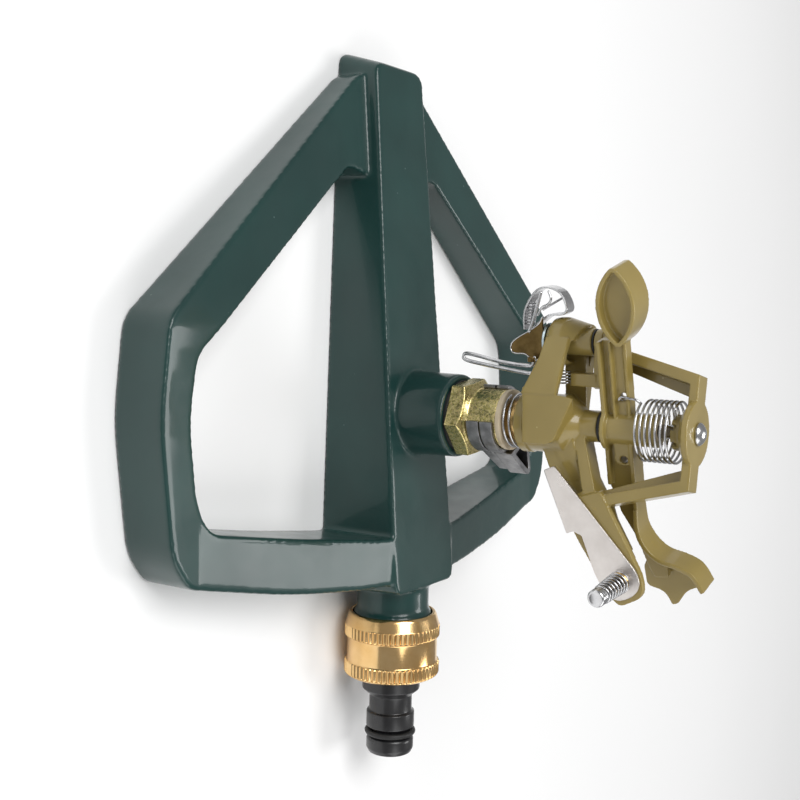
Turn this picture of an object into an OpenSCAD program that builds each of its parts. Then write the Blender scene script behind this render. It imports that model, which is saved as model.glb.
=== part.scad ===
// Impact sprinkler: an impulse head with trip mechanism on a cast sled base.
// +Z is up, the base stands on z = 0, the swivel axis of the head is x = y = 0,
// and +X points along the spine to the hose inlet. Millimetres.

/* [Base] */
// Distance from the swivel axis to the tip of the nose
nose_reach = 110.5; // [109:0.5:112]
// Distance from the swivel axis to the inlet face of the base
inlet_reach = 60; // [58:0.5:61]
// Half width of the base across the wings
wing_reach = 109; // [107:0.5:110]
// Height of the outer bar of each wing
wing_h = 17.4; // [16:0.1:19]
// Height of the spine under the swivel axis
spine_h = 23.8; // [23:0.1:25]
// Wall thickness of the casting
wall = 3; // [2.5:0.1:3.5]
// Radius of the boss at its foot
boss_r = 14; // [13.8:0.1:14.5]
// Height of the rim of the boss
boss_h = 40.5; // [40:0.1:41]

/* [Inlet] */
// Height of the inlet axis
inlet_z = 15.8; // [15.5:0.1:16.5]
// Outer radius of the hose nut over its knurls
nut_r = 15.8; // [15.6:0.1:16]
// Number of knurl teeth round the nut
knurl_teeth = 60; // [40:2:72]
// Radius of the quick-connector tip
tip_r = 7.85; // [7.7:0.05:8]

/* [Bearing] */
// Across flats of the bearing nipple
hex_af = 22; // [21.5:0.5:22.5]
// Outer radius of the bearing nipple
nipple_r = 9.2; // [9.1:0.05:9.25]
// Outer radius of the bearing tube
tube_r = 6; // [5.9:0.05:6.1]

/* [Head] */
// Direction in which the barrel points at rest
head_az = 6; // [0:1:10]
// Rise of the barrel above the horizontal
barrel_rise = 28; // [27:0.5:29]
// Radius of the barrel at its root
barrel_r = 5.6; // [5.5:0.1:5.8]
// Height of the top face of the bridge
bridge_top = 117.3; // [117:0.1:118]
// Radius of the fulcrum pin
pin_r = 2; // [1.9:0.05:2.1]

/* [Impact arm] */
// Direction of the spoon at rest, measured from the barrel
arm_az = 10; // [9:1:12]
// Height of the underside of the arm
arm_z = 90; // [89.8:0.1:90.2]
// Turns of the arm spring
arm_turns = 7; // [6:1:8]

/* [Trip] */
// Width of the two friction collars
collar_w = 4.2; // [4:0.1:4.3]
// Wire radius of the trip wire
wire_r = 0.6; // [0.5:0.05:0.65]

/* [Hidden] */
$fn = 64;
eps = 0.01;
green = "#1c4642";
olive = "#94824b";
zinc_yellow = "#b8a45c";

// Slope of the spine top, from the nose up to the inlet
spine_slope = 0.088;
inlet_bore_r = 6;
spigot_r = 13;
pin_fit = 0.05;
tube_fit = 0.06;
// Levels along the swivel axis
hex_z = boss_h + 0.8;
hex_h = 5.4;
hex_corner = hex_af / sqrt(3);
hex_chamfer = 1;
collar_z0 = 47.9;
washer_z = 57.3;
washer_h = 1.5;
head_z0 = 63.6;
boss_top = 88.3;
beam_top = 87.2;
bridge_az = -16;
top_reach = 16.4;
foot_reach = 24.6;
bar_w = 7;
// Trip post, in the frame of the head
post = [-24.8, 1.1];
post_base = 72.2;
post_r = 7.2;
shaft_r = 1.5;
ring_z = 86.2;
hammer_r = 3.9;
hammer_room = 0.8;
// Barrel axis: height where it crosses the swivel axis
barrel_z0 = 72.5;
lug_face = -9.9;
// Pivot of the trip wire, in the frame of the post
wire_y = -7.2;
wire_z = 68.6;
eye_x0 = 4.2;
eye_w = 1.4;
eye_r = 1.25;
deflector_s = 49.9;
deflector_t = 2.5;

// ---- helpers -----------------------------------------------------------------

// One corner of an outline, rounded with a smooth curve of reach r or as much as its edges allow
function corner(a, p, b, r, n = 5) =
    let (
        q = min(r, 0.48 * norm(a - p), 0.48 * norm(b - p)),
        s = p + q * (a - p) / norm(a - p),
        e = p + q * (b - p) / norm(b - p)
    )
    q == 0 ? [p] :
    [for (i = [0 : n]) let (t = i / n) (1 - t) * (1 - t) * s + 2 * t * (1 - t) * p + t * t * e];

// Closed outline from [x, y, r] points, each corner rounded by its r
function rounded(pts) =
    let (n = len(pts), q = [for (p = pts) [p[0], p[1]]])
    [for (i = [0 : n - 1]) each corner(q[(i + n - 1) % n], q[i], q[(i + 1) % n], pts[i][2])];

// Strip of constant thickness along a path, as an outline
function strip(path, t) =
    let (
        n = len(path),
        dir = [for (i = [0 : n - 1]) let (d = path[min(i + 1, n - 1)] - path[max(i - 1, 0)]) d / norm(d)],
        side = [for (d = dir) [-d[1], d[0]] * t / 2]
    )
    concat([for (i = [0 : n - 1]) path[i] + side[i]], [for (i = [n - 1 : -1 : 0]) path[i] - side[i]]);

// Smooth curve through a list of points
function spline(p, n = 5) =
    let (m = len(p) - 1)
    concat([for (i = [0 : m - 1], k = [0 : n - 1]) let (
        t = k / n, a = p[max(i - 1, 0)], b = p[i], c = p[i + 1], d = p[min(i + 2, m)]
    ) 0.5 * (2 * b + (c - a) * t + (2 * a - 5 * b + 4 * c - d) * t * t
        + (3 * b - a - 3 * c + d) * t * t * t)],
    [p[m]]);

// Rings of a tube swept along a path of 3-D points
function unit(v) = v / norm(v);
function frame_step(prev, t) = unit(prev - t * (prev * t));
function frames(path, i, prev) =
    i >= len(path) ? [] :
    let (
        t = unit(path[min(i + 1, len(path) - 1)] - path[max(i - 1, 0)]),
        n = frame_step(prev, t)
    ) concat([[t, n]], frames(path, i + 1, n));
module tube_along(path, r, sides = 8, up = [0.1, 0.2, 1]) {
    fr = frames(path, 0, up);
    rings = len(path);
    pts = [for (i = [0 : rings - 1], k = [0 : sides - 1]) let (a = 360 * k / sides)
        path[i] + r * (fr[i][1] * cos(a) + cross(fr[i][0], fr[i][1]) * sin(a))];
    caps = [[for (k = [0 : sides - 1]) k], [for (k = [sides - 1 : -1 : 0]) (rings - 1) * sides + k]];
    skin = [for (i = [0 : rings - 2], k = [0 : sides - 1]) let (
        a = i * sides + k, b = i * sides + (k + 1) % sides
    ) [a, a + sides, b + sides, b]];
    polyhedron(pts, concat(caps, skin), 4);
}

// Points of a coil round the Z axis
function coil(r, z0, z1, turns, a0 = 0, n = 20) =
    [for (i = [0 : turns * n]) let (a = a0 + 360 * i / n)
        [r * cos(a), r * sin(a), z0 + (z1 - z0) * i / (turns * n)]];

// Solid over a flat outline, with a sloping top given by its height at x = 0 and its slope
module drafted(bottom, top, z0, slope) {
    n = len(bottom);
    pts = concat([for (p = bottom) [p[0], p[1], 0]], [for (p = top) [p[0], p[1], z0 + slope * p[0]]]);
    sides = [for (i = [0 : n - 1]) let (j = (i + 1) % n) [i, i + n, j + n, j]];
    polyhedron(pts, concat([[for (i = [0 : n - 1]) i], [for (i = [n - 1 : -1 : 0]) i + n]], sides), 4);
}

module tube(r_out, r_in, h) {
    difference() {
        cylinder(r = r_out, h = h);
        translate([0, 0, -eps]) cylinder(r = r_in, h = h + 2 * eps);
    }
}

module both_sides() {
    children();
    mirror([0, 1, 0]) children();
}

// Turns children from the frame of the head to the frame of the part
module in_head() { rotate([0, 0, head_az]) children(); }
module in_bridge() { in_head() rotate([0, 0, bridge_az]) children(); }
module in_arm() { in_head() rotate([0, 0, arm_az]) children(); }

// Frame of the barrel: X along the bore, Z square to it, Y across
module in_barrel() {
    in_head() translate([0, 0, barrel_z0]) rotate([0, -barrel_rise, 0]) children();
}

// Upright slab drawn in X and Z and spanning y0 to y1
module slab(outline, y0, y1) {
    translate([0, y1, 0]) rotate([90, 0, 0]) linear_extrude(y1 - y0) polygon(outline);
}

// ---- base --------------------------------------------------------------------

function spine_outline(grow, nose) = rounded([
    [-nose, -13.2 - grow, 4.5], [30, -17 - grow, 4], [inlet_reach - 3 + grow / 2, -17.4 - grow, 4],
    [inlet_reach - 3 + grow / 2, 17.4 + grow, 4], [30, 17 + grow, 4], [-nose, 13.2 + grow, 4.5]
]);

wing_outline = rounded([
    [-107, 10, 0], [-106.5, 16.6, 3], [-29.5, 106, 4], [-3, wing_reach, 8], [33, 104.4, 5],
    [41.5, 98, 3], [49.5, 60, 12], [53, 30, 6], [54, 10, 0]
]);
window_outline = rounded([
    [-73.4, 8, 0], [-76.8, 24.6, 3], [-19.8, 95.4, 4], [-3, 98, 6], [19, 95.2, 5],
    [27.6, 90.5, 4], [33.8, 54.7, 10], [38.4, 22, 4], [38.8, 8, 0]
]);

// Region over one wing below its top faces, raised by lift
module wing_roof(lift) {
    slab([[-112, -1], [-112, 9.2 + lift], [-28, wing_h + lift], [60, wing_h + lift], [60, -1]], 0, 140);
    translate([24, 0, 0]) rotate([90, 0, 90]) linear_extrude(40)
        polygon([[0, -1], [0, 27.6 + lift], [17, 27.2 + lift], [25, 26.2 + lift], [94, wing_h + lift],
            [140, wing_h + lift], [140, -1]]);
}

module wing_body() {
    intersection() {
        linear_extrude(40) difference() {
            polygon(wing_outline);
            polygon(window_outline);
        }
        wing_roof(0);
    }
}

// Hollow under the rails of one wing
module wing_hollow() {
    intersection() {
        translate([0, 0, -1]) linear_extrude(40) difference() {
            offset(delta = -wall) polygon(wing_outline);
            offset(delta = wall) polygon(window_outline);
            translate([-120, -1]) square([180, 19.5]);
        }
        translate([0, 0, -1]) wing_roof(-wall);
    }
}

module base_frame() {
    inner = spine_outline(-wall - 0.4, nose_reach - wall);
    color(green)
    difference() {
        union() {
            drafted(spine_outline(1.6, nose_reach + 4), spine_outline(0, nose_reach), spine_h, spine_slope);
            both_sides() wing_body();
            cylinder(r1 = boss_r, r2 = boss_r - 0.9, h = boss_h);
            translate([inlet_reach - 8, 0, inlet_z]) rotate([0, 90, 0]) cylinder(r = 11.9, h = 14.3);
            translate([inlet_reach + 6, 0, inlet_z]) rotate([0, 90, 0]) cylinder(r = spigot_r, h = 9.4);
        }
        // Underside of the spine, open between the boss and the nose and beside the water way
        difference() {
            translate([0, 0, -1]) drafted(inner, inner, spine_h - wall, spine_slope);
            translate([0, 0, -2]) cylinder(r = boss_r + 1, h = 40);
            translate([0, 0, inlet_z]) rotate([0, 90, 0]) cylinder(r = inlet_bore_r + 3, h = 80);
            translate([-120, -1.5, -2]) cube([120, 3, 40]);
            translate([0, -1.5, -2]) cube([60, 3, inlet_z]);
            translate([inlet_reach - 7, -30, -2]) cube([20, 60, 60]);
        }
        both_sides() wing_hollow();
        translate([0, 0, inlet_z]) rotate([0, 90, 0]) cylinder(r = inlet_bore_r, h = 80);
        translate([0, 0, 10]) cylinder(r = inlet_bore_r, h = 15);
        // Threaded socket for the bearing nipple
        translate([0, 0, 22]) cylinder(r = 9.2, h = 30);
        // Shallow rebate inside the rim of the boss
        translate([0, 0, boss_h - 0.4]) cylinder(r = boss_r - 2.2, h = 2);
    }
}

module boss_gasket() {
    color("#15191a")
    translate([0, 0, boss_h - 0.4]) tube(11.3, 9.4, 1.2);
}

// ---- inlet -------------------------------------------------------------------

module hose_nut() {
    mouth = 66.4;
    color("#d9b66e")
    translate([mouth, 0, inlet_z]) rotate([0, 90, 0]) difference() {
        union() {
            rotate_extrude() polygon([[5, 20], [5, 21.2], [14.7, 21.2], [15.5, 20.6], [15.5, 16.4],
                [14.9, 16], [14.9, 8.4], [15.5, 8], [15.5, 4], [14.4, 0.6], [14.2, 0], [5, 0]]);
            for (z = [4, 16.4]) translate([0, 0, z]) knurl_ring(4.1);
        }
        translate([0, 0, -1]) cylinder(r = spigot_r + 0.25, h = 14);
        translate([0, 0, 12.9]) cylinder(r = 11.6, h = 6.5);
        translate([0, 0, -1]) cylinder(r = 10, h = 30);
    }
}

// Band of straight knurl teeth
module knurl_ring(h) {
    n = knurl_teeth;
    linear_extrude(h)
        polygon([for (i = [0 : 2 * n - 1]) let (a = 180 * i / n, r = i % 2 == 0 ? nut_r : nut_r - 0.45)
            [r * cos(a), r * sin(a)]]);
}

module hose_washer() {
    color("#222222")
    translate([75.5, 0, inlet_z]) rotate([0, 90, 0]) tube(11.2, 5.5, 3.9);
}

module hose_nipple() {
    color("#1b1d1f")
    translate([79.4, 0, inlet_z]) rotate([0, 90, 0])
        rotate_extrude() polygon([[3.6, 0], [11.2, 0], [11.2, 3], [9.6, 3.4], [9.6, 13], [7.1, 15.2],
            [7.1, 20.4], [8, 20.9], [8, 25.8], [7.3, 26.3], [7.3, 26.7], [6.6, 26.7], [6.6, 28.9],
            [7.5, 28.9], [7.5, 29.6], [tip_r, 30.2], [tip_r, 33.2], [7.2, 34.6], [6, 35], [3.6, 35]]);
}

module nipple_o_ring() {
    color("#101010")
    translate([107.2, 0, inlet_z]) rotate([0, 90, 0]) rotate_extrude()
        translate([7.55, 0]) circle(r = 0.95, $fn = 24);
}

// ---- bearing and collars -----------------------------------------------------

module bearing_nipple() {
    color(zinc_yellow)
    difference() {
        union() {
            // Threaded shank in the boss
            translate([0, 0, 26]) cylinder(r = 9.15, h = hex_z - 26 + 1);
            intersection() {
                translate([0, 0, hex_z]) rotate([0, 0, 39]) cylinder(r = hex_corner, h = hex_h, $fn = 6);
                // Turned chamfer on the top corners
                union() {
                    translate([0, 0, hex_z - 1]) cylinder(r = hex_corner + 1, h = hex_h - hex_chamfer + 1);
                    translate([0, 0, hex_z + hex_h - hex_chamfer - eps])
                        cylinder(r1 = hex_corner + 0.1, r2 = hex_af / 2, h = hex_chamfer + 2 * eps);
                }
            }
            translate([0, 0, hex_z + hex_h]) cylinder(r1 = 10.8, r2 = 9.3, h = 1.1);
            translate([0, 0, hex_z + 1]) cylinder(r = nipple_r, h = washer_z - hex_z - 1);
        }
        cylinder(r = tube_r + tube_fit, h = 70);
        // Recess for the flange of the bearing tube and its seal
        translate([0, 0, 25]) cylinder(r = 7.8, h = 12);
    }
}

// Spring clip collar with a triangular trip tab from z0 to z1
module friction_collar(z, tab_az, z0, z1) {
    r_in = nipple_r + 0.06;
    t = 1.2;
    color("#85868a") {
        translate([0, 0, z]) rotate([0, 0, -88]) rotate_extrude(angle = 268)
            translate([r_in, 0]) square([t, collar_w]);
        rotate([0, 0, tab_az]) translate([0, 0, z0]) linear_extrude(z1 - z0) difference() {
            polygon([[8.6, -6.4], [8.9, 6], [20.6, 1.9], [21.4, 1], [21.4, -0.2], [20.4, -1.4]]);
            circle(r = r_in + 0.15);
            polygon([[10.6, -3.8], [10.9, 3.8], [19.4, 0.8], [19.4, 0]]);
        }
    }
}

module lower_collar() { friction_collar(collar_z0, 37, collar_z0 + 0.5, collar_z0 + collar_w + 0.1); }
module upper_collar() {
    z = collar_z0 + collar_w + 0.5;
    friction_collar(z, 33, z + 0.2, z + collar_w + 2);
}

module wear_washer() {
    color("#cfc4a4")
    translate([0, 0, washer_z]) tube(9.35, tube_r + tube_fit, washer_h);
}

module seal_washer() {
    color("#222222")
    translate([0, 0, 35.6]) tube(7.6, tube_r + tube_fit, 1.4);
}

module bearing_tube() {
    color("#b08d45")
    difference() {
        union() {
            translate([0, 0, 34]) cylinder(r = tube_r, h = 38);
            translate([0, 0, 32.4]) cylinder(r = 7.5, h = 3.2);
        }
        cylinder(r = 4.2, h = 90);
    }
}

module bearing_spring() {
    z0 = washer_z + washer_h + 0.62;
    color("#c9cbcc")
    tube_along(coil(8.0, z0, head_z0 - 0.62, 2.5, 200), 0.6, 8);
}

// ---- head --------------------------------------------------------------------

module head_body() {
    color(olive)
    difference() {
        union() {
            in_head() {
                translate([0, 0, head_z0]) cylinder(r = 9.35, h = 3);
                translate([0, 0, head_z0 + 1]) cylinder(r = 8.9, h = 13.4);
                translate([0, 0, 78 - eps]) cylinder(r1 = 8.9, r2 = 4.7, h = 5);
                translate([0, 0, 80]) cylinder(r = 4.7, h = boss_top - 80);
                trip_post();
            }
            barrel();
            bridge();
            shield();
            yoke();
        }
        // Bearing tube socket and water way into the barrel
        in_head() translate([0, 0, 60]) cylinder(r = tube_r, h = 12);
        in_head() translate([0, 0, 71]) cylinder(r = 4.2, h = 5);
        in_barrel() rotate([0, 90, 0]) cylinder(r = 3.4, h = 60);
        in_barrel() translate([37, 0, 0]) rotate([0, 90, 0]) cylinder(r = 3.9, h = 20);
        // Fulcrum pin
        in_head() translate([0, 0, 81]) cylinder(r = pin_r, h = 60);
        // Trip shaft, and room for the hammer where the left leg passes it
        in_head() translate([post[0], post[1], 60]) cylinder(r = shaft_r + pin_fit, h = 40);
        in_head() translate([post[0], post[1], ring_z]) cylinder(r = hammer_r + hammer_room, h = 4);
        // Deflector pin
        in_barrel() translate([deflector_s, 0, deflector_t]) rotate([90, 0, 0]) cylinder(r = 1.5, h = 30);
    }
}

// Post that carries the trip shaft, with a bell-shaped skirt cut low at the front
module trip_post() {
    translate([post[0], post[1], 0]) {
        translate([0, 0, post_base]) cylinder(r = 4.1, h = 86.2 - post_base);
        translate([0, 0, post_base]) cylinder(r1 = 5.2, r2 = 6.9, h = 1.6);
        translate([0, 0, post_base + 1.6 - eps]) cylinder(r1 = 6.9, r2 = post_r, h = 1.6);
        difference() {
            union() {
                translate([0, 0, 77.4]) cylinder(r1 = post_r, r2 = 4.7, h = 8.8);
                translate([0, 0, post_base + 3.1]) cylinder(r = post_r, h = 2.2);
            }
            // Hollow inside the skirt
            rotate([0, 0, -100]) rotate_extrude(angle = 150) translate([3, 76.2]) square([3, 12]);
            // Sloping rim of the skirt
            translate([0, 0, 82]) rotate([10, 29, 0]) translate([-20, -20, 0]) cube([40, 40, 20]);
        }
    }
}

module barrel() {
    in_barrel() {
        rotate([0, 90, 0]) cylinder(r = barrel_r, h = 30);
        translate([30 - eps, 0, 0]) rotate([0, 90, 0]) cylinder(r1 = barrel_r, r2 = 4.9, h = 4);
        rotate([0, 90, 0]) cylinder(r = 4.9, h = 44);
        // Flat cheek along the front of the barrel, ending in the lug of the deflector
        slab(rounded([[22, -4.6, 2], [34, -4.6, 2], [46, -3.6, 2], [53.4, -3, 3], [56.7, -1.6, 3],
            [56.6, 6.8, 3], [51, 9, 4], [24, 9, 1]]), lug_face, lug_face + 2.2);
        slab([[22, -4.6], [34, -4.6], [44, -3.4], [44, 4], [22, 4]], lug_face + 1, -2);
    }
}

// Bridge over the arm: top plate, spring hub and two L-section legs
module bridge() {
    in_bridge() {
        translate([0, 0, bridge_top - 1.8]) cylinder(r = 9.55, h = 1.8);
        translate([0, 0, bridge_top - 3.4]) cylinder(r1 = 7, r2 = 9.2, h = 1.7);
        difference() {
            translate([0, 0, 110.9]) cylinder(r = 5.2, h = 4);
            for (a = [0 : 60 : 300]) rotate([0, 0, a + 18]) translate([5, 0, 111.6]) rotate([0, 90, 0])
                cylinder(r = 0.9, h = 4, center = true);
        }
        slab([[-top_reach, bridge_top], [-top_reach - 0.7, bridge_top - 2.7],
            [top_reach + 0.7, bridge_top - 2.7], [top_reach, bridge_top]], -bar_w / 2, bar_w / 2);
        leg(88.5);
        mirror([1, 0, 0]) leg(82);
    }
}

// One leg of the bridge down to z = foot
module leg(foot) {
    lean = (foot_reach - top_reach) / (bridge_top - beam_top);
    x1 = top_reach + lean * (bridge_top - foot);
    slab([[top_reach - 3.2, bridge_top - 1], [top_reach, bridge_top - eps], [x1, foot], [x1 - 3.4, foot]],
        -bar_w / 2, bar_w / 2);
    slab([[top_reach - 7, bridge_top - 1], [top_reach - 1, bridge_top - 1], [x1 - 1, foot], [x1 - 5, foot]],
        bar_w / 2 - 2.4, bar_w / 2);
}

// Front shield of the body, a block with a sloping top and a bevelled side
module shield() {
    face = rounded([[-12.4, 67.2, 1], [-13.8, 69, 1], [-11.2, 83.2, 1], [-9, 83.9, 1], [4.3, 77.9, 1.2],
        [5.5, 75.4, 1], [5.5, 67.6, 0.6]]);
    difference() {
        slab(face, -11.2, -4);
        translate([-11.2, -11.2, 67.2]) rotate([0, 9, 0]) rotate([0, 0, -38]) translate([-10, -20, -10])
            cube([10, 40, 40]);
    }
}

// Beams from the body to the legs and straps round the trip post
module yoke() {
    in_bridge() {
        slab([[2, 84], [21, 90.2], [24.5, 90.2], [24.6, 89.2], [22.5, 87], [18.6, 85.2], [4, 81.4],
            [2, 80.6]], -bar_w / 2, bar_w / 2);
        // Web from the beam down to the barrel
        slab([[3, 68], [3, 83], [21, 88], [21, 84], [12, 74]], -1, 2.6);
        slab([[-foot_reach, 80], [-foot_reach + 1, 82.2], [-2, 82.2], [-2, 75.4], [-20, 75.4]],
            0.4, bar_w / 2);
    }
    in_head() {
        // Flat side of the body between the beam and the root of the barrel
        slab(rounded([[0, 68, 0], [6.6, 71.4, 2], [12, 73.2, 2], [24, 79.6, 1], [24, 84.6, 1],
            [16, 84, 0], [2, 81, 0]]), -5.5, 4);
        // Front strap, from the skirt of the post to the shield
        translate([post[0], post[1], 0]) rotate([0, 0, -16])
            slab([[0, 73.2], [0, 80.6], [17, 78.2], [17, 66.9], [6, 71.6]], -post_r, -post_r + 2);
        // Rear strap
        translate([post[0], post[1], 0]) slab([[2, 75.4], [2, 82.2], [18, 82.2], [18, 75.4]], 1.2, 3.6);
    }
}

module nozzle() {
    color("#b9893c")
    in_barrel() translate([37, 0, 0]) rotate([0, 90, 0]) rotate_extrude()
        polygon([[3.1, 0], [3.9, 0], [3.9, 7], [4.5, 7], [4.5, 9.4], [4, 9.8], [2.2, 9.8], [2.2, 8.6]]);
}

module fulcrum_pin() {
    color("#cfd1d2")
    in_head() union() {
        translate([0, 0, 81]) cylinder(r = pin_r, h = bridge_top - 81 + 0.2);
        translate([0, 0, bridge_top]) intersection() {
            cylinder(r = 3.35, h = 3);
            translate([0, 0, -1.9]) sphere(r = 4.2);
        }
    }
}

module arm_washer() {
    color("#161616")
    in_head() translate([0, 0, boss_top]) tube(4.9, pin_r + pin_fit, arm_z - boss_top - 0.1);
}

// ---- impact arm --------------------------------------------------------------

// Curve of the back of the spoon in the plane of the arm
spoon_back = spline([[24, 98.2], [30.6, 98.9], [35.8, 101.8], [38.7, 105.6], [39.9, 110.4], [42, 115],
    [47, 118]]);

module impact_arm() {
    color(olive)
    in_arm() difference() {
        union() {
            translate([0, 0, arm_z]) cylinder(r = 4.9, h = 16);
            translate([0, 0, arm_z]) cylinder(r = 6.6, h = 1.4);
            counterweight_beam();
            counterweight();
            spoon_beam();
            spoon();
        }
        translate([0, 0, 80]) cylinder(r = 3, h = 40);
        // Anchor holes for the spring
        translate([-10.2, 0, 96.4]) rotate([90, 0, 0]) cylinder(r = 1.2, h = 12, center = true);
        translate([8.6, 0, 95.8]) rotate([90, 0, 0]) cylinder(r = 1.2, h = 12, center = true);
    }
}

// I-section from the hub to the counterweight
module counterweight_beam() {
    slab([[0, arm_z], [0, 98.4], [-27, 98.4], [-27, arm_z]], -1.3, 1.3);
    for (f = [[3.7, arm_z, 1.3], [3.1, 93.4, 0.9], [2.1, 97.4, 1.0]])
        translate([-27, -f[0], f[1]]) cube([24, 2 * f[0], f[2]]);
}

// Leaf-shaped cup, lens outline with a recessed face
module counterweight() {
    translate([-37.6, 0, 97.5]) difference() {
        intersection() {
            lens(14.9, 9.1, 11);
            rotate([90, 0, 0]) linear_extrude(12, center = true)
                polygon(rounded([[-11.2, -7, 4], [11.2, -7, 4], [11.2, 7, 4], [-11.2, 7, 4]]));
        }
        translate([0, -5.6, 0]) lens(14.9 - 1.2, 9.1, 6.2);
    }
}

module lens(r, d, depth) {
    intersection() {
        translate([0, depth / 2, -d]) rotate([90, 0, 0]) cylinder(r = r, h = depth, $fn = 96);
        translate([0, depth / 2, d]) rotate([90, 0, 0]) cylinder(r = r, h = depth, $fn = 96);
    }
}

module spoon_beam() {
    slab([[0, arm_z], [0, 98.8], [28, 98.8], [33, 100.4], [37, 104], [38.4, 106], [46, 106], [46.6, 101.8],
        [43.5, 100.2], [34, 97], [26.5, 92.8], [18, arm_z]], -1.2, 1.2);
    translate([2, -3.7, 97.7]) cube([23, 7.1, 1.2]);
    translate([2, -3.2, arm_z]) cube([15, 6.4, 1.2]);
    // Lug for the second anchor hole
    slab(rounded([[4, 93, 0], [10, 93, 1.5], [10.6, 97.8, 1.5], [4, 97.8, 0]]), -3.4, -1);
}

// Scoop that the jet strikes: curved back and one side wall with a lip
module spoon() {
    difference() {
        slab(strip(spoon_back, 1.4), -6, 3.4);
        translate([22, -3.7, 90]) rotate([0, 0, -10.8]) translate([-5, -10, 0]) cube([40, 10, 40]);
    }
    slab(rounded([[36.6, 101, 1], [39.8, 111, 2], [42, 116, 2], [47, 118.4, 0.5], [49.4, 114.2, 1],
        [51.4, 110.2, 2], [56.2, 107.2, 0.6], [56.8, 105.4, 0.4], [52.6, 103.4, 2], [51.4, 97.8, 1.5],
        [45, 97.2, 1]]), 2, 3.4);
}

module arm_bushing() {
    color("#e8e6dc")
    in_arm() translate([0, 0, arm_z]) tube(3, pin_r + pin_fit, 16);
}

// Torsion spring between the arm and the hub of the bridge
module arm_spring() {
    z0 = 101.6;
    z1 = 112.2;
    wind = coil(8.8, z0, z1, arm_turns, 200, 20);
    tail = [[-9.0, -5.2, 97], [-9.1, -4.6, 99], [-8.9, -3.8, 101]];
    color("#c9cbcc")
    in_head() tube_along(concat(tail, wind, [[-6.6, -4.4, z1 + 0.1], [-5.1, -3.6, z1 - 0.2]]), 0.38, 6);
}

// ---- deflector ---------------------------------------------------------------

module deflector_plate() {
    // Outline in the frame of the barrel, centred on the pin
    plate = rounded([[-38.1, -2.9, 0.7], [-38.3, -6.6, 0.5], [-18.7, -8.9, 0], [-18.5, -6.6, 0.5],
        [-16.4, -4.7, 0.5], [-4.5, -6.3, 2], [1, -5.9, 2.4], [5, -3.8, 3], [5.5, 1.4, 3],
        [3.4, 5.4, 3], [-1, 6.2, 2], [-5, 5.2, 2]]);
    color("#cfcac4")
    in_barrel() translate([deflector_s, 0, deflector_t]) difference() {
        slab(plate, lug_face - 1.0, lug_face - 0.1);
        rotate([90, 0, 0]) cylinder(r = 1.5 + pin_fit, h = 30);
    }
}

module deflector_pin() {
    color("#c5c6c7")
    in_barrel() translate([deflector_s, 0, deflector_t]) rotate([90, 0, 0]) union() {
        translate([0, 0, 5]) cylinder(r = 1.5, h = 20);
        translate([0, 0, 24.6]) cylinder(r = 2.6, h = 3.2);
    }
}

module deflector_washer() {
    color("#b9babb")
    in_barrel() translate([deflector_s, lug_face - 1.0, deflector_t]) rotate([90, 0, 0])
        tube(3.3, 1.5, 0.6);
}

module deflector_spring() {
    color("#b9babb")
    in_barrel() translate([deflector_s, lug_face - 1.9, deflector_t]) rotate([90, 0, 0])
        tube_along(coil(2.3, 0.05, 12.4, 9, 0, 14), 0.28, 6);
}

// ---- trip --------------------------------------------------------------------

module at_post() { in_head() translate([post[0], post[1], 0]) children(); }

module trip_shaft() {
    color("#c5c6c7")
    at_post() translate([0, 0, 66.2]) cylinder(r = shaft_r, h = 24);
}

module trip_ring() {
    color("#161616")
    at_post() translate([0, 0, ring_z]) tube(hammer_r, shaft_r + pin_fit, 0.7);
}

// Hammer on top of the post, with a finger down into the yoke
module trip_hammer() {
    color(olive)
    at_post() difference() {
        union() {
            translate([0, 0, 87]) cylinder(r = hammer_r, h = 2.5);
            translate([0, 0, 87]) linear_extrude(2.3)
                polygon([[0, -3.4], [12.6, -4.4], [13.4, -3], [13.4, -0.4], [0, 2.6]]);
            translate([8.9, -4.4, 79.8]) cube([3.8, 3.8, 8]);
        }
        translate([0, 0, 80]) cylinder(r = shaft_r, h = 20);
    }
}

module trip_washer() {
    color("#b6cbd8")
    at_post() translate([0, 0, 71.1]) tube(4.6, shaft_r + pin_fit, 0.9);
}

// Flat lever under the post that the trip wire throws over
module trip_lever() {
    color("#8a6b3a")
    at_post() difference() {
        union() {
            translate([0, 0, 69.4]) linear_extrude(1.5)
                polygon(rounded([[-4.6, -3, 1], [4, -4.6, 2], [5, 3, 2], [-4.4, 3.6, 2]]));
            slab(rounded([[-7, 70.9, 0.5], [-6.6, 69.4, 1], [-2.6, 64.6, 2], [-0.6, 60.2, 1.4],
                [2.8, 60.2, 1.4], [3.4, 64, 1.5], [4, 70.9, 0.5]]), -4.6, -3.4);
            // Eye that the trip wire hangs from
            translate([eye_x0, wire_y, wire_z]) rotate([0, 90, 0]) cylinder(r = eye_r, h = eye_w);
            translate([eye_x0, wire_y, wire_z - 0.5]) cube([eye_w, -3.4 - wire_y, 1]);
            translate([2, -4.6, wire_z - 0.5]) cube([eye_x0 + eye_w - 2, 1.2, 1]);
        }
        translate([0, 0, 60]) cylinder(r = shaft_r, h = 20);
        translate([0, wire_y, wire_z]) rotate([0, 90, 0]) cylinder(r = wire_r + pin_fit, h = 12);
    }
}

// Over-centre clip of spring strip, from the lever round the left of the post
module trip_clip() {
    path = spline([[-4.2, 67.2], [-7.9, 72.4], [-8.2, 76.4], [-10, 78.2], [-14.6, 76], [-16.2, 71.2],
        [-14.2, 67.4], [-9, 64.4], [-3.4, 64.2]], 4);
    color("#d2d4d5")
    at_post() slab(strip(path, 0.6), -3.2, 1.8);
}

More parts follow.
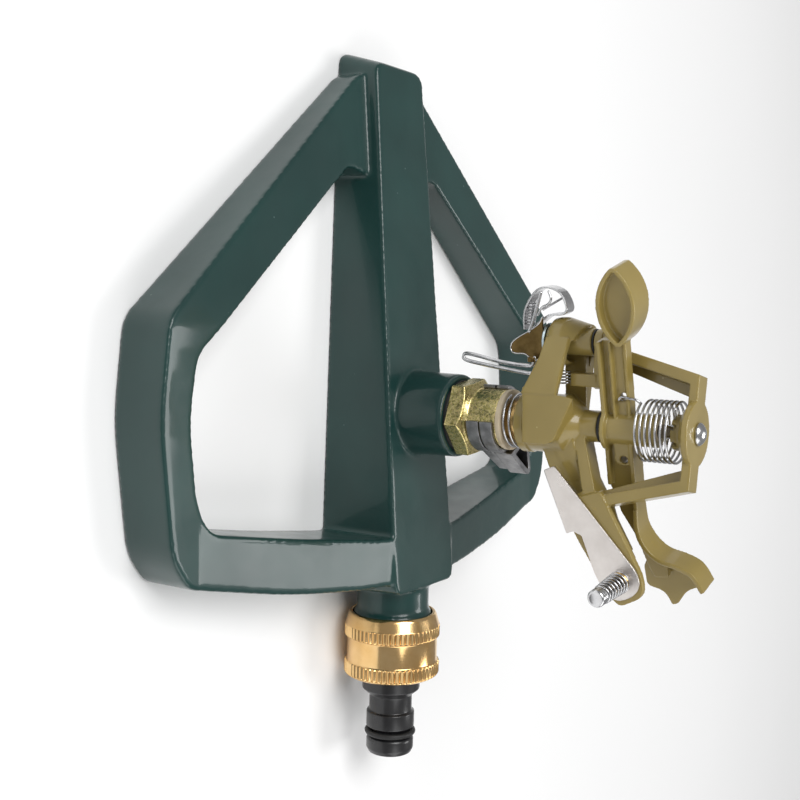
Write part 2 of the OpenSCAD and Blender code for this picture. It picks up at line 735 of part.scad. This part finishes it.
module trip_spring() {
    color("#b9babb")
    at_post() translate([8.6, -2.6, 77.4]) rotate([0, 90, 0])
        tube_along(coil(1.5, 0, 3.6, 4, 0, 12), 0.26, 6);
}

// Hairpin wire that the collar tabs push against
module trip_wire() {
    loop = spline([[7.0, wire_y, wire_z], [6.7, wire_y, 65], [6.0, wire_y, 58], [4.0, wire_y, 47.4],
        [4.6, wire_y, 45.4], [6.1, wire_y, 46.8], [7.9, wire_y, 58], [9.0, wire_y, 66.4]], 4);
    color("#c9cbcc")
    at_post() {
        tube_along(loop, wire_r, 8, [0, 1, 0]);
        // Straight stretch that turns in the eye of the lever
        translate([eye_x0 - 1, wire_y, wire_z]) rotate([0, 90, 0]) cylinder(r = wire_r, h = 8.2 - eye_x0);
    }
}

// ---- draw --------------------------------------------------------------------

base_frame();
boss_gasket();
bearing_nipple();
lower_collar();
upper_collar();
hose_nut();
hose_nipple();
nipple_o_ring();
hose_washer();
wear_washer();
seal_washer();
bearing_tube();
bearing_spring();
head_body();
nozzle();
fulcrum_pin();
arm_washer();
arm_spring();
impact_arm();
arm_bushing();
deflector_plate();
deflector_pin();
deflector_spring();
deflector_washer();
trip_shaft();
trip_ring();
trip_hammer();
trip_washer();
trip_lever();
trip_clip();
trip_spring();
trip_wire();
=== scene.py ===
"""Impact sprinkler on a cast sled base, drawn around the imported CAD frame.

Lengths are in millimetres, in each piece's own frame, until add() or MM turns them into metres.
"""
import math

import bpy
import numpy as np
from mathutils import Matrix, Vector


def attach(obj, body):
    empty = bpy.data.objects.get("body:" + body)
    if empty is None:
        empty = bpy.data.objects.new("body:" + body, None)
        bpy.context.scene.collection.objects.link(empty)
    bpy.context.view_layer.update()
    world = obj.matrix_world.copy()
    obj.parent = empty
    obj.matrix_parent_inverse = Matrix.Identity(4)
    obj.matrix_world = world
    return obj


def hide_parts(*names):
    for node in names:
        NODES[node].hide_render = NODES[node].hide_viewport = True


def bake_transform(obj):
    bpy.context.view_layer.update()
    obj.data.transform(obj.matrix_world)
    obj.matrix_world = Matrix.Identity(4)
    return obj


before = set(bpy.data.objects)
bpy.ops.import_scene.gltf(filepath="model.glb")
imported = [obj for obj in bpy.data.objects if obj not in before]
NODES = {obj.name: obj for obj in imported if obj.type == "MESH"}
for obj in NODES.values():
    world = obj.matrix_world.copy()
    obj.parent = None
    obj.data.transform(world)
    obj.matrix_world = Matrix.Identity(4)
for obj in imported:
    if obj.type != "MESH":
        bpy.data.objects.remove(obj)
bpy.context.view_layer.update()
MM = 0.001
QUARTER = math.radians(90)
HEAD_AZ = math.radians(6)
BARREL_PITCH, BARREL_Z = math.radians(-28), 72.5
POST_X, POST_Y = -24.8, 1.1
PIN_ALONG, PIN_UP = 49.9, 2.5
INLET_Z = 15.8
scene = bpy.context.scene


# ---- frames ------------------------------------------------------------------

def shift(place, x=0.0, y=0.0, z=0.0):
    return place @ Matrix.Translation((x * MM, y * MM, z * MM))


WORLD = Matrix.Identity(4)
HEAD = Matrix.Rotation(HEAD_AZ, 4, "Z")
POST = shift(HEAD, POST_X, POST_Y)
BARREL = shift(HEAD, z=BARREL_Z) @ Matrix.Rotation(BARREL_PITCH, 4, "Y")
DEFLECTOR = shift(BARREL, PIN_ALONG, z=PIN_UP) @ Matrix.Rotation(QUARTER, 4, "X")
INLET = shift(WORLD, z=INLET_Z) @ Matrix.Rotation(QUARTER, 4, "Y")


# ---- node helpers ------------------------------------------------------------

class Shader:
    """A material's node tree, built up one link at a time."""

    def __init__(self, name, **values):
        self.m = bpy.data.materials.new(name)
        self.m.use_nodes = True
        self.t = self.m.node_tree
        self.bsdf = self.t.nodes["Principled BSDF"]
        for k, v in values.items():
            self.bsdf.inputs[k.replace("_", " ")].default_value = v
        self.coords = self.t.nodes.new("ShaderNodeTexCoord").outputs["Object"]

    def node(self, kind, **values):
        n = self.t.nodes.new(kind)
        for k, v in values.items():
            setattr(n, k, v)
        return n

    def link(self, a, b):
        self.t.links.new(a, b)

    def mapped(self, scale):
        n = self.node("ShaderNodeMapping")
        n.inputs["Scale"].default_value = scale
        self.link(self.coords, n.inputs["Vector"])
        return n.outputs["Vector"]

    def noise(self, scale, detail=3.0, rough=0.5, stretch=None):
        n = self.node("ShaderNodeTexNoise")
        n.inputs["Scale"].default_value = scale
        n.inputs["Detail"].default_value = detail
        n.inputs["Roughness"].default_value = rough
        self.link(self.mapped(stretch) if stretch else self.coords, n.inputs["Vector"])
        return n.outputs["Fac"]

    def ramp(self, fac, stops):
        n = self.node("ShaderNodeValToRGB")
        e = n.color_ramp.elements
        while len(e) < len(stops):
            e.new(0.5)
        for i, (p, c) in enumerate(stops):
            e[i].position = p
            e[i].color = (*c, 1)
        self.link(fac, n.inputs["Fac"])
        return n.outputs["Color"]

    def span(self, fac, lo, hi, a, b):
        n = self.node("ShaderNodeMapRange")
        for k, v in (("From Min", lo), ("From Max", hi), ("To Min", a), ("To Max", b)):
            n.inputs[k].default_value = v
        self.link(fac, n.inputs["Value"])
        return n.outputs["Result"]

    def mix(self, fac, a, b):
        """Blends the linked colour a towards the fixed colour b."""
        n = self.node("ShaderNodeMix", data_type="RGBA")
        self.link(fac, n.inputs[0])
        self.link(a, n.inputs[6])
        n.inputs[7].default_value = (*b, 1)
        return n.outputs[2]

    def bump(self, height, strength, distance, before=None):
        n = self.node("ShaderNodeBump")
        n.inputs["Strength"].default_value = strength
        n.inputs["Distance"].default_value = distance
        self.link(height, n.inputs["Height"])
        if before:
            self.link(before, n.inputs["Normal"])
        return n.outputs["Normal"]

    def done(self, color=None, rough=None, normal=None):
        for v, k in ((color, "Base Color"), (rough, "Roughness"), (normal, "Normal")):
            if v is not None:
                self.link(v, self.bsdf.inputs[k])
        return self.m


def enamel(name, dark, mid, light, coat):
    """Thick gloss paint over a casting: slow drift in colour, soft orange peel and a few specks of dust."""
    s = Shader(name, Metallic=0.0, Coat_Weight=coat, Coat_Roughness=0.06, Coat_IOR=1.45, IOR=1.4)
    color = s.ramp(s.noise(38, 3), [(0.3, dark), (0.5, mid), (0.72, light)])
    v = s.node("ShaderNodeTexVoronoi")
    v.inputs["Scale"].default_value = 230
    s.link(s.coords, v.inputs["Vector"])
    speck = s.span(v.outputs["Distance"], 0.035, 0.07, 0.35, 0.0)
    sparse = s.span(s.noise(70, 1), 0.6, 0.64, 0.0, 1.0)
    both = s.node("ShaderNodeMath", operation="MULTIPLY")
    s.link(speck, both.inputs[0])
    s.link(sparse, both.inputs[1])
    color = s.mix(both.outputs[0], color, tuple(min(1, c * 3 + 0.2) for c in light))
    rough = s.span(s.noise(90, 3), 0.3, 0.7, 0.3, 0.42)
    normal = s.bump(s.noise(420, 2), 0.10, 0.00010)
    normal = s.bump(s.noise(90, 2), 0.12, 0.0004, normal)
    return s.done(color, rough, normal)


def metal(name, stops, rough, scale, grain=1500, grain_depth=0.00003, streak=None, streak_depth=0.0):
    """Bare or plated metal: mottled colour, patchy roughness, grain and optional turning or drawing marks."""
    s = Shader(name, Metallic=1.0)
    color = s.ramp(s.noise(scale, 4, 0.6), stops)
    r = s.span(s.noise(scale * 0.6, 3, 0.5), 0.3, 0.7, *rough)
    normal = s.bump(s.noise(grain, 2), 0.25, grain_depth)
    if streak:
        normal = s.bump(s.noise(1.0, 2, 0.6, streak), 0.35, streak_depth, normal)
    return s.done(color, r, normal)


def plastic(name, dark, light, rough=(0.35, 0.5), **more):
    """Plastic or rubber, faintly mottled and grained."""
    s = Shader(name, Metallic=0.0, **more)
    color = s.ramp(s.noise(240, 3), [(0.35, dark), (0.65, light)])
    r = s.span(s.noise(160, 3), 0.3, 0.7, *rough)
    return s.done(color, r, s.bump(s.noise(1400, 2), 0.3, 0.00004))


M = {
    "green": enamel("green_enamel", (0.0062, 0.033, 0.030), (0.0078, 0.039, 0.035),
                    (0.0098, 0.046, 0.041), 0.5),
    "olive": enamel("olive_enamel", (0.245, 0.182, 0.048), (0.28, 0.208, 0.057),
                    (0.315, 0.238, 0.070), 0.6),
    "brass": metal("polished_brass", [(0.3, (0.80, 0.50, 0.20)), (0.7, (0.93, 0.65, 0.32))],
                   (0.12, 0.22), 120, streak=(5200, 12, 12), streak_depth=0.000012),
    "raw_brass": metal("raw_brass", [(0.3, (0.50, 0.33, 0.13)), (0.7, (0.70, 0.48, 0.20))], (0.2, 0.34), 200),
    "zinc": metal("yellow_zinc", [(0.30, (0.20, 0.20, 0.06)), (0.42, (0.55, 0.47, 0.17)),
                                  (0.55, (0.78, 0.66, 0.33)), (0.68, (0.70, 0.50, 0.20)),
                                  (0.8, (0.86, 0.80, 0.55))],
                  (0.16, 0.36), 1500, grain=1100, grain_depth=0.00006),
    "steel": metal("bright_steel", [(0.3, (0.50, 0.50, 0.51)), (0.7, (0.74, 0.74, 0.75))], (0.16, 0.28), 260),
    "wire": metal("spring_steel", [(0.3, (0.42, 0.42, 0.43)), (0.7, (0.66, 0.66, 0.67))], (0.16, 0.28), 420),
    "plate": metal("plate_steel", [(0.3, (0.60, 0.56, 0.53)), (0.7, (0.74, 0.70, 0.67))], (0.26, 0.38), 90,
                   streak=(260, 260, 1900), streak_depth=0.00001),
    "grey": metal("grey_steel", [(0.3, (0.16, 0.16, 0.165)), (0.7, (0.34, 0.34, 0.345))], (0.28, 0.46), 300,
                  grain=900, grain_depth=0.00008),
    "blue": metal("blue_zinc", [(0.3, (0.48, 0.60, 0.66)), (0.7, (0.66, 0.78, 0.83))], (0.25, 0.4), 300),
    "bronze": metal("bronze_plate", [(0.3, (0.13, 0.085, 0.03)), (0.7, (0.27, 0.18, 0.07))],
                    (0.26, 0.4), 260),
    "rubber": plastic("black_rubber", (0.006, 0.006, 0.006), (0.014, 0.014, 0.014), (0.45, 0.6)),
    "nylon": plastic("black_plastic", (0.007, 0.007, 0.008), (0.014, 0.014, 0.015),
                     (0.26, 0.36), Coat_Weight=0.25, Coat_Roughness=0.2),
    "beige": plastic("beige_plastic", (0.46, 0.38, 0.26), (0.60, 0.51, 0.37)),
}


# ---- mesh helpers ------------------------------------------------------------

WIRE_SIDES = 14


def add(name, verts, faces, mat, body, nodes=(), place=WORLD):
    """A mesh given in millimetres in the frame place, riding on a body and standing for CAD nodes."""
    me = bpy.data.meshes.new(name)
    me.from_pydata([tuple(place @ (Vector(v) * MM)) for v in verts], [], faces)
    me.validate()
    me.update()
    return adopt(name, me, mat, body, nodes)


def adopt(name, me, mat, body, nodes=()):
    """Makes a mesh a smooth-shaded piece with one material, riding on a body."""
    ob = bpy.data.objects.new(name, me)
    scene.collection.objects.link(ob)
    me.materials.clear()
    me.materials.append(M[mat])
    me.polygons.foreach_set("use_smooth", [True] * len(me.polygons))
    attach(ob, body)
    if nodes:
        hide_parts(*nodes)
    return ob


def apply_modifiers(ob):
    bpy.context.view_layer.update()
    dg = bpy.context.evaluated_depsgraph_get()
    me = bpy.data.meshes.new_from_object(ob.evaluated_get(dg))
    bpy.data.objects.remove(ob)
    return me


# Turns a solid so that no long edge of it runs along the remesh grid, which would leave steps in it
SKEW = Matrix.Rotation(0.52, 4, "X") @ Matrix.Rotation(0.61, 4, "Y") @ Matrix.Rotation(0.43, 4, "Z")


def cast(node, mat, body, voxel, rounds, keep=1.0):
    """The CAD solid with its edges rounded like a casting's: remeshed, relaxed, then thinned."""
    src = bpy.data.objects.new("work", NODES[node].data.copy())
    src.data.transform(SKEW)
    scene.collection.objects.link(src)
    r = src.modifiers.new("r", "REMESH")
    r.mode = "VOXEL"
    r.voxel_size = voxel * MM
    s = src.modifiers.new("s", "SMOOTH")
    s.factor = 0.5
    s.iterations = rounds
    if keep < 1:
        src.modifiers.new("d", "DECIMATE").ratio = keep
    me = apply_modifiers(src)
    me.transform(SKEW.inverted())
    return adopt(node + "_cast", me, mat, body, (node,))


def frames_along(p):
    """Tangents and two normals along points, carried from one to the next without twist."""
    t = np.gradient(p, axis=0)
    t /= np.linalg.norm(t, axis=1)[:, None]
    n = np.zeros_like(p)
    seed = np.array((0.13, 0.21, 1.0))
    v = seed - t[0] * (seed @ t[0])
    for i in range(len(p)):
        v = v - t[i] * (v @ t[i])
        v /= np.linalg.norm(v)
        n[i] = v
    return t, n, np.cross(t, n)


def tube_mesh(p, radius):
    """Round wire along points, with domed ends."""
    sides = WIRE_SIDES
    p = np.array(p, float)
    t, n, b = frames_along(p)
    a = np.linspace(0, 2 * math.pi, sides, endpoint=False)
    ring = [(i, 0.0, 1.0) for i in range(len(p))]
    head = [(0, -radius * math.sin(q), math.cos(q)) for q in (1.35, 0.9, 0.45)]
    tail = [(len(p) - 1, radius * math.sin(q), math.cos(q)) for q in (0.45, 0.9, 1.35)]
    verts, faces = [], []
    for i, off, k in head + ring + tail:
        c = p[i] + t[i] * off
        verts += [tuple(c + radius * k * (n[i] * math.cos(q) + b[i] * math.sin(q))) for q in a]
    rows = len(verts) // sides
    for i in range(rows - 1):
        for k in range(sides):
            j = (k + 1) % sides
            faces.append((i * sides + k, i * sides + j, (i + 1) * sides + j, (i + 1) * sides + k))
    faces.append(tuple(range(sides))[::-1])
    faces.append(tuple((rows - 1) * sides + k for k in range(sides)))
    return verts, faces


def coil(r, z0, z1, turns, a0, steps):
    """Helix about Z from height z0 to z1, from angle a0 in degrees, with steps points to a turn."""
    n = int(turns * steps)
    angles = [math.radians(a0 + 360 * i / steps) for i in range(n + 1)]
    return [(r * math.cos(a), r * math.sin(a), z0 + (z1 - z0) * i / n) for i, a in enumerate(angles)]


def smooth_path(pts, n=8):
    """Catmull-Rom curve through points."""
    p = [np.array(q, float) for q in pts]
    p = [2 * p[0] - p[1]] + p + [2 * p[-1] - p[-2]]
    out = []
    for i in range(1, len(p) - 2):
        a, b, c, d = p[i - 1:i + 3]
        for k in range(n):
            t = k / n
            out.append(0.5 * (2 * b + (c - a) * t + (2 * a - 5 * b + 4 * c - d) * t * t
                              + (3 * b - a - 3 * c + d) * t ** 3))
    out.append(p[-2])
    return [tuple(q) for q in out]


def fillet(profile, r, n=4):
    """Closed (z, r) profile with its corners rounded."""
    out = []
    m = len(profile)
    for i in range(m):
        a, p, b = (np.array(profile[(i + k) % m][:2], float) for k in (-1, 0, 1))
        k = profile[i][2] if len(profile[i]) > 2 else 0.0
        la, lb = np.linalg.norm(a - p), np.linalg.norm(b - p)
        q = min(r, 0.45 * la, 0.45 * lb)
        s, e = p + (a - p) / la * q, p + (b - p) / lb * q
        for j in range(n + 1):
            t = j / n
            w = (1 - t) ** 2 * s + 2 * t * (1 - t) * p + t * t * e
            out.append((w[0], w[1], k))
    return out


def lathe_mesh(profile, segs=96, teeth=0, depth=0.0):
    """Solid of revolution about Z from a closed (z, r, knurl) profile that stays off the axis."""
    verts, faces = [], []
    m = len(profile)
    for i in range(segs):
        a = 2 * math.pi * i / segs
        wave = 0.5 - 0.5 * math.cos(a * teeth) if teeth else 0.0
        for z, r, k in profile:
            q = r - depth * k * wave ** 0.8
            verts.append((q * math.cos(a), q * math.sin(a), z))
    for i in range(segs):
        j = (i + 1) % segs
        for k in range(m):
            l = (k + 1) % m
            faces.append((i * m + k, j * m + k, j * m + l, i * m + l))
    return verts, faces


def disc_mesh(profile, segs=64):
    """Solid of revolution about Z from an open (z, r) profile whose ends close on the axis."""
    verts, faces = [], []
    m = len(profile)
    for i in range(segs):
        a = 2 * math.pi * i / segs
        verts += [(r * math.cos(a), r * math.sin(a), z) for z, r in profile]
    for i in range(segs):
        j = (i + 1) % segs
        for k in range(m - 1):
            faces.append((i * m + k, j * m + k, j * m + k + 1, i * m + k + 1))
    faces.append(tuple(i * m for i in range(segs))[::-1])
    faces.append(tuple(i * m + m - 1 for i in range(segs)))
    return verts, faces


def washer(name, mat, body, node, z0, z1, r0, r1, place=WORLD, edge=0.15):
    v, f = lathe_mesh(fillet([(z0, r0), (z0, r1), (z1, r1), (z1, r0)], edge), 72)
    return add(name, v, f, mat, body, (node,), place)


# ---- castings ----------------------------------------------------------------

cast("base_frame", "green", "base", 0.5, 26)
cast("head_body", "olive", "head", 0.27, 4, 0.6)
cast("impact_arm", "olive", "arm", 0.26, 4, 0.6)
cast("trip_hammer", "olive", "trip", 0.2, 4)
cast("bearing_nipple", "zinc", "base", 0.2, 2)
cast("lower_collar", "grey", "lower_collar", 0.16, 2)
cast("upper_collar", "grey", "upper_collar", 0.16, 2)
cast("deflector_plate", "plate", "deflector", 0.16, 2)
cast("trip_clip", "steel", "trip", 0.13, 2)

# ---- turned and wound pieces -------------------------------------------------

KNURLS, KNURL_DEPTH, KNURL_STEPS = 60, 0.6, 8
NUT_X, TIP_X, O_RING_X = 66.4, 79.4, 107.2
BRIDGE_TOP = 117.3
DOME_R, DOME_SINK = 4.2, 1.9


def wire(name, body, node, path, radius, place):
    verts, faces = tube_mesh(path, radius)
    add(name, verts, faces, "wire", body, (node,), place)


def nut():
    """Brass hose nut: two bands of rounded knurls with a plain groove between them."""
    outer = [(0, 14.1, 0), (0.7, 14.6, 0), (4.0, 15.6, 0), (4.3, 15.8, 1), (7.9, 15.8, 1), (8.2, 15.0, 0),
             (16.0, 15.0, 0), (16.4, 15.8, 1), (20.2, 15.8, 1), (20.7, 15.3, 0), (21.2, 14.6, 0)]
    inner = [(21.2, 11.7, 0), (13.1, 11.7, 0), (12.9, 13.3, 0), (0, 13.3, 0)]
    verts, faces = lathe_mesh(fillet(outer + inner, 0.35), KNURLS * KNURL_STEPS, KNURLS, KNURL_DEPTH)
    add("hose_nut_turned", verts, faces, "brass", "base", ("hose_nut",), shift(INLET, z=NUT_X))


def nipple():
    """Quick-connect tip with its stepped shoulder and grooves."""
    steps = [(0, 3.6), (0, 11.1), (3, 11.1), (3.4, 9.6), (13, 9.6), (15.2, 7.1), (20.4, 7.1),
             (20.9, 8), (25.8, 8), (26.3, 7.3), (26.7, 6.7), (28.9, 6.7), (29.6, 7.6),
             (30.2, 7.85), (33.2, 7.85), (34.6, 7.2), (35, 6), (35, 3.6)]
    verts, faces = lathe_mesh([(z, r, 0) for z, r, _ in fillet(steps, 0.3)], 96)
    add("hose_nipple_turned", verts, faces, "nylon", "base", ("hose_nipple",), shift(INLET, z=TIP_X))
    ring = [(0.95 * math.sin(a), 7.55 + 0.95 * math.cos(a), 0) for a in np.linspace(0, 2 * math.pi, 25)[:-1]]
    verts, faces = lathe_mesh(ring, 96)
    add("o_ring", verts, faces, "rubber", "base", ("nipple_o_ring",), shift(INLET, z=O_RING_X))


def rivet():
    """Fulcrum pin, peened over to a shallow dome on the bridge."""
    dome = [(BRIDGE_TOP - DOME_SINK + DOME_R * math.cos(a), DOME_R * math.sin(a))
            for a in np.linspace(0.92, 0.05, 10)]
    rim = [(BRIDGE_TOP, 2.0), (BRIDGE_TOP, 3.2), (BRIDGE_TOP + 0.25, 3.35)]
    verts, faces = disc_mesh([(81, 0.01), (81, 2.0)] + rim + dome, 64)
    add("fulcrum_rivet", verts, faces, "steel", "head", ("fulcrum_pin",), HEAD)


def pin():
    """Deflector pin with a ridged, slightly dished head."""
    rod = [(5, 0.01), (5, 1.5), (24.6, 1.5), (24.6, 2.3), (24.8, 2.6)]
    ridges = [(24.8 + 2.2 * i / 24, 2.6 - 0.14 * (0.5 - 0.5 * math.cos(i * math.pi / 4))) for i in range(25)]
    face = [(27.3, 2.55), (27.7, 2.3), (27.8, 2.0), (27.7, 1.7), (27.55, 1.2), (27.5, 0.01)]
    verts, faces = disc_mesh(rod + ridges + face, 56)
    add("deflector_pin_turned", verts, faces, "steel", "head", ("deflector_pin",), DEFLECTOR)


nut()
nipple()
rivet()
pin()
washer("wear_ring", "beige", "base", "wear_washer", 57.3, 58.8, 6.06, 9.35)
washer("gasket_ring", "rubber", "base", "boss_gasket", 40.1, 41.3, 9.4, 11.3)
washer("arm_ring", "rubber", "head", "arm_washer", 88.3, 89.9, 2.05, 4.9, HEAD, 0.4)
washer("hammer_ring", "rubber", "trip", "trip_ring", 86.2, 86.9, 1.55, 3.9, POST, 0.3)
washer("lever_ring", "blue", "trip", "trip_washer", 71.0, 71.8, 1.55, 5.4, POST, 0.2)
washer("plate_ring", "steel", "head", "deflector_washer", 10.9, 11.5, 1.5, 3.3, DEFLECTOR, 0.15)

wire("bearing_coil", "head", "bearing_spring", coil(8.1, 59.25, 63.15, 2, 200, 48), 0.42, WORLD)
TAPER = [(x * (3.0 - 0.045 * z), y * (3.0 - 0.045 * z), z) for x, y, z in coil(1.0, 0.4, 12.3, 6.5, 0, 32)]
wire("deflector_coil", "head", "deflector_spring", TAPER, 0.34, shift(DEFLECTOR, z=11.85))
CUP = fillet([(11.5, 1.6), (11.5, 3.1), (12.3, 2.3), (12.3, 1.6)], 0.12)
verts, faces = lathe_mesh([(z, r, 0) for z, r, _ in CUP], 56)
add("deflector_cup", verts, faces, "raw_brass", "head", (), DEFLECTOR)
wire("trip_coil", "head", "trip_spring", coil(1.5, 0, 3.6, 4, 0, 28), 0.26,
     shift(POST, 8.6, -2.6, 77.4) @ Matrix.Rotation(QUARTER, 4, "Y"))

HAIRPIN = smooth_path([(4.4, -6.9, 69.5), (5.3, -7.1, 69.4), (6.6, -7.2, 68.6), (6.7, -7.2, 65),
                       (6.0, -7.2, 58), (4.0, -7.2, 47.4), (4.7, -7.2, 45.5), (6.1, -7.2, 46.8),
                       (7.9, -7.2, 58), (9.0, -7.2, 66.4), (9.1, -7.2, 68.4)])
wire("trip_hairpin", "wire", "trip_wire", HAIRPIN, 0.6, POST)


def torsion_spring():
    """Arm spring: seven open turns, a hook through the arm at the left and its top end in the hub."""
    wind = coil(8.8, 101.6, 112.2, 7, 200, 40)
    hook = smooth_path([(-8.6, -3.4, 96.0), (-9.3, -4.9, 95.7), (-10.1, -4.6, 96.6), (-9.6, -3.9, 98.4),
                        (-9.3, -3.6, 100.2), wind[0]], 7)
    top = smooth_path([wind[-1], (-7.4, -4.6, 112.3), (-5.6, -3.8, 112.1), (-4.4, -3.0, 111.7)], 6)
    verts, faces = tube_mesh(hook[:-1] + wind + top[1:], 0.38)
    ob = bpy.data.objects.new("arm_coil", bpy.data.meshes.new("arm_coil"))
    ob.data.from_pydata([tuple(HEAD @ (Vector(v) * MM)) for v in verts], [], faces)
    scene.collection.objects.link(ob)
    ob.data.materials.append(M["wire"])
    ob.data.polygons.foreach_set("use_smooth", [True] * len(ob.data.polygons))
    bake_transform(ob)
    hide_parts("arm_spring")


torsion_spring()


def plate(name, outline, y0, y1, mat, body, nodes, place, edge=0.18):
    """Sheet metal cut to an outline in X and Z, with its edges broken."""
    n = len(outline)
    verts = [(x, y, z) for y in (y0, y1) for x, z in outline]
    faces = [tuple(range(n)), tuple(range(2 * n - 1, n - 1, -1))]
    faces += [(i, i + n, (i + 1) % n + n, (i + 1) % n) for i in range(n)]
    ob = add(name, verts, faces, mat, body, nodes, place)
    bevel = ob.modifiers.new("edge", "BEVEL")
    bevel.width = edge * MM
    bevel.segments = 3
    bevel.limit_method = "ANGLE"
    bevel.angle_limit = math.radians(50)
    return ob


def trip_lever():
    """Curved bronze lever under the post, with a bright steel rim along its outline as a painted edge
    highlight, its flange and the wire's eye.
    """
    edge = [(-7.4, 71.0), (-5.4, 69.8), (-3.6, 67.2), (-1.4, 63.2), (0.5, 60.8), (2.5, 60.4),
            (3.6, 61.8), (3.7, 65.0), (5.0, 67.4), (5.4, 70.8)]
    outline = [(q[0], q[1]) for q in smooth_path([(x, z, 0) for x, z in edge], 6)]
    plate("lever_web", outline, -4.6, -3.7, "bronze", "trip", ("trip_lever",), POST)
    # Bright steel wire along the lever's outline: a painted highlight on the edge, not a real part
    verts, faces = tube_mesh([(x, -4.66, z) for x, z in outline], 0.22)
    add("lever_painted_highlight", verts, faces, "steel", "trip", (), POST)
    top = [(-4.6, -4.4), (4.2, -4.6), (5.2, 2.6), (-4.4, 3.4)]
    verts = [(x, y, z) for z in (69.5, 70.8) for x, y in top]
    faces = [(3, 2, 1, 0), (4, 5, 6, 7)] + [(i, (i + 1) % 4, (i + 1) % 4 + 4, i + 4) for i in range(4)]
    flange = add("lever_flange", verts, faces, "bronze", "trip", (), POST)
    b = flange.modifiers.new("edge", "BEVEL")
    b.width = 0.5 * MM
    b.segments = 4
    ring = [(4.2, 0.65, 0), (4.2, 1.25, 0), (5.6, 1.25, 0), (5.6, 0.65, 0)]
    verts, faces = lathe_mesh(fillet(ring, 0.15), 40)
    eye = shift(POST, 0, -7.2, 68.6) @ Matrix.Rotation(QUARTER, 4, "Y")
    add("lever_eye", verts, faces, "bronze", "trip", (), eye)


def clip_details():
    """Rods and the small spring that sit inside the clip."""
    rods = [[(-14.6, -3.7, 70.2), (-11.5, -3.9, 69.3), (-7.0, -4.2, 68.0), (-3.2, -4.9, 66.8)],
            [(-14.9, -3.3, 72.6), (-12.8, -3.5, 73.4), (-11.2, -3.4, 72.4), (-10.2, -3.4, 70.4),
             (-8.0, -4.0, 69.2)],
            [(-12.8, 0.8, 75.2), (-11.0, -1.4, 72.6), (-9.6, -3.0, 70.6)]]
    for i, (path, radius) in enumerate(zip(rods, (0.55, 0.36, 0.36))):
        verts, faces = tube_mesh(smooth_path(path, 7), radius)
        add(f"clip_rod_{i}", verts, faces, "steel", "trip", (), POST)
    verts, faces = tube_mesh(coil(1.15, 0, 6.4, 7, 0, 28), 0.3)
    lie = shift(POST, -11.4, -2.0, 66.8) @ Matrix.Rotation(math.radians(98), 4, "Y")
    add("clip_coil", verts, faces, "wire", "trip", (), lie)


trip_lever()
clip_details()

# ---- camera, light, floor ----------------------------------------------------

AZ, EL, ROLL, LENS = -0.0901, 0.5818, 0.0725, 52.587
back = Vector((math.sin(AZ) * math.cos(EL), -math.cos(AZ) * math.cos(EL), math.sin(EL)))
side = (-back).cross(Vector((0, 0, 1))).normalized()
up = side.cross(-back)
across = side * math.cos(ROLL) + up * math.sin(ROLL)
upward = up * math.cos(ROLL) - side * math.sin(ROLL)
cam_data = bpy.data.cameras.new("camera")
cam_data.sensor_width = 36
cam_data.lens = LENS
cam_data.clip_start, cam_data.clip_end = 0.01, 20
cam = bpy.data.objects.new("camera", cam_data)
x_axis, y_axis = upward, -across
place = Vector((-32.3149, -318.4957, 227.1615)) * MM
cam.matrix_world = Matrix([[x_axis[i], y_axis[i], back[i], place[i]] for i in range(3)] + [[0, 0, 0, 1]])
scene.collection.objects.link(cam)
scene.camera = cam

scene.view_settings.view_transform = "Standard"


def area(name, size, power, at, aim):
    """Square soft light at one point, facing another."""
    d = bpy.data.lights.new(name, "AREA")
    d.shape = "SQUARE"
    d.size = size
    d.energy = power
    o = bpy.data.objects.new(name, d)
    at, aim = Vector(at), Vector(aim)
    o.location = at
    o.rotation_euler = (aim - at).to_track_quat("-Z", "Y").to_euler()
    scene.collection.objects.link(o)


area("key", 0.6, 7.2, (-0.45, -0.35, 0.85), (0, 0, 0.04))
area("fill", 0.8, 3.8, (0.75, -0.25, 0.6), (0, 0, 0.04))
area("back", 0.5, 5.0, (0.15, 0.75, 1.2), (0, 0, 0.05))

world = bpy.data.worlds.new("studio")
scene.world = world
world.use_nodes = True
world.node_tree.nodes["Background"].inputs["Color"].default_value = (1, 1, 1, 1)
world.node_tree.nodes["Background"].inputs["Strength"].default_value = 0.3

s = Shader("pale_floor", Metallic=0.0, Roughness=0.6)
floor_mat = s.done(s.ramp(s.noise(3, 2), [(0.3, (0.90, 0.90, 0.90)), (0.7, (0.93, 0.93, 0.93))]))
me = bpy.data.meshes.new("floor")
FLOOR_HALF = 6.0
me.from_pydata([(x * FLOOR_HALF, y * FLOOR_HALF, 0) for x, y in ((-1, -1), (1, -1), (1, 1), (-1, 1))],
               [], [(0, 1, 2, 3)])
floor = bpy.data.objects.new("floor", me)
me.materials.append(floor_mat)
scene.collection.objects.link(floor)

# ---- carried-over CAD nodes --------------------------------------------------

CARRIED = {"bearing_tube": "raw_brass", "seal_washer": "rubber", "hose_washer": "rubber",
           "nozzle": "raw_brass", "arm_bushing": "beige", "trip_shaft": "steel"}
for name, mat in CARRIED.items():
    ob = NODES[name]
    ob.data.materials.clear()
    ob.data.materials.append(M[mat])
